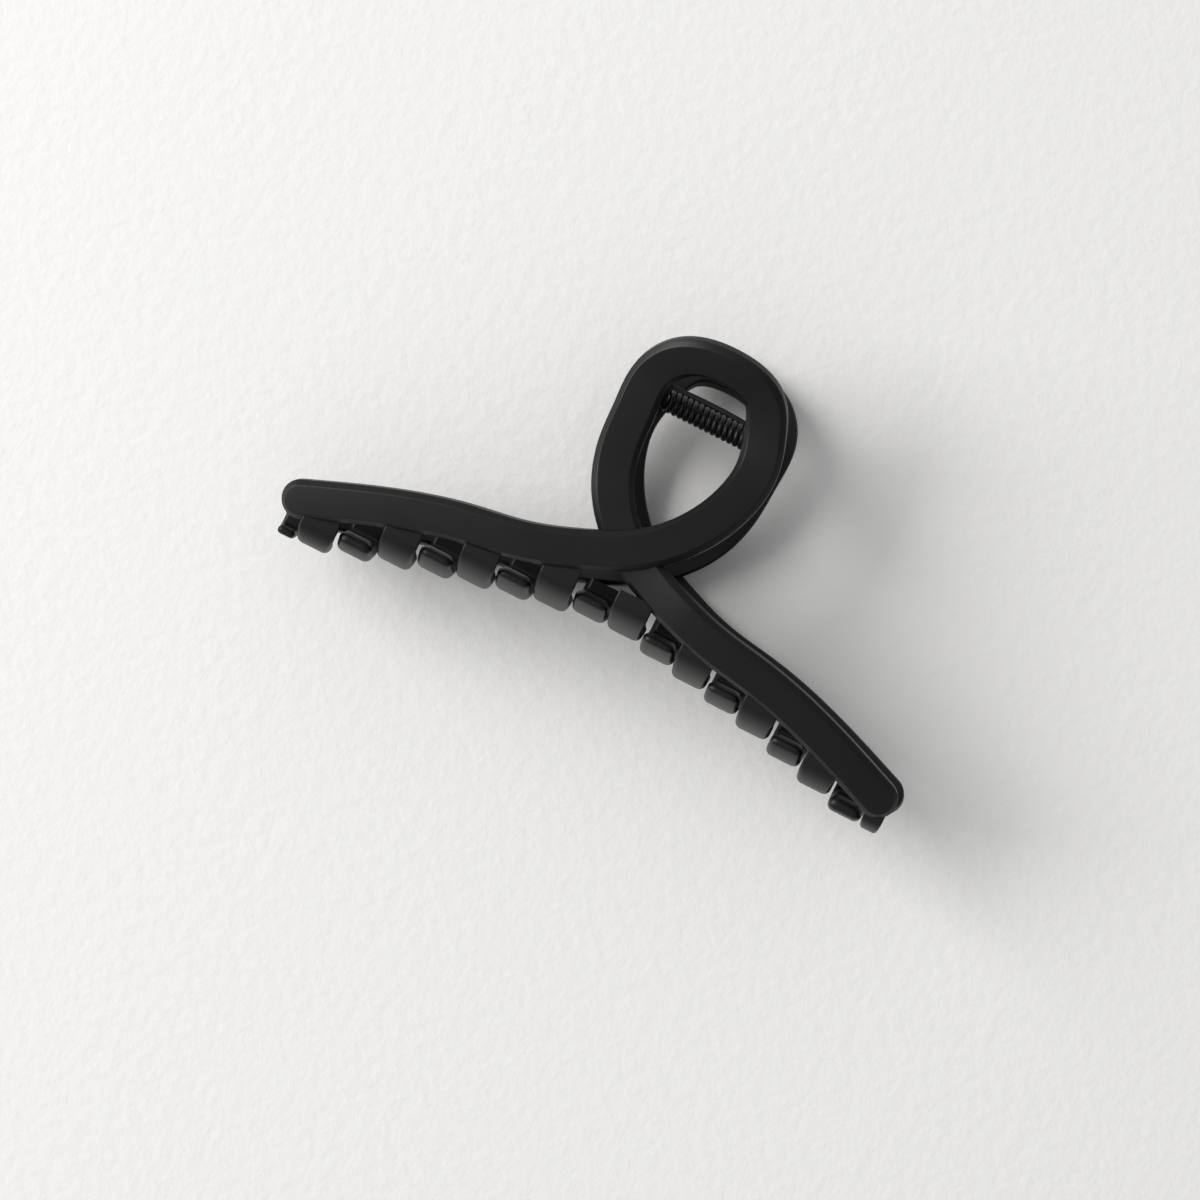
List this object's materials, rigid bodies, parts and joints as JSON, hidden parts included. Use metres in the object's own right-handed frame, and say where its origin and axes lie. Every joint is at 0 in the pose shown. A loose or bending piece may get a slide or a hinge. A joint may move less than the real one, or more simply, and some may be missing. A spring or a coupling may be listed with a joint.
{
  "type": "claw hair clip",
  "caption": "Large claw hair clip with open ribbon-loop handles, interlocking curved claws, a hinge pin and a torsion spring.",
  "frame": {"origin": "on the surface the clip lies on, under the middle of its box", "axes": "+X along the hinge and the arms, +Y from the claws to the finger loops, +Z from the back jaw up to the front jaw"},
  "size_m": [0.1144, 0.0614, 0.0317],
  "materials": {
    "jaw_plastic": "soft-touch matte black",
    "pin_steel": "plain drawn wire",
    "spring_steel": "black oxide, slightly glossy"
  },
  "bodies": {
    "back_jaw": {"back_jaw": "jaw_plastic", "hinge_pin": "pin_steel", "torsion_spring": "spring_steel"},
    "front_jaw": {"front_jaw": "jaw_plastic"}
  },
  "joints": [
    {"name": "jaw_hinge", "type": "hinge", "parent": "back_jaw", "child": "front_jaw", "pos_m": [0, 0.01798, 0.01583], "axis": [1, 0, 0], "range_deg": [-70, 0], "stiffness_Nm_per_rad": 0.06, "springref_deg": 45.84, "deforming": ["torsion_spring"]}
  ]
}
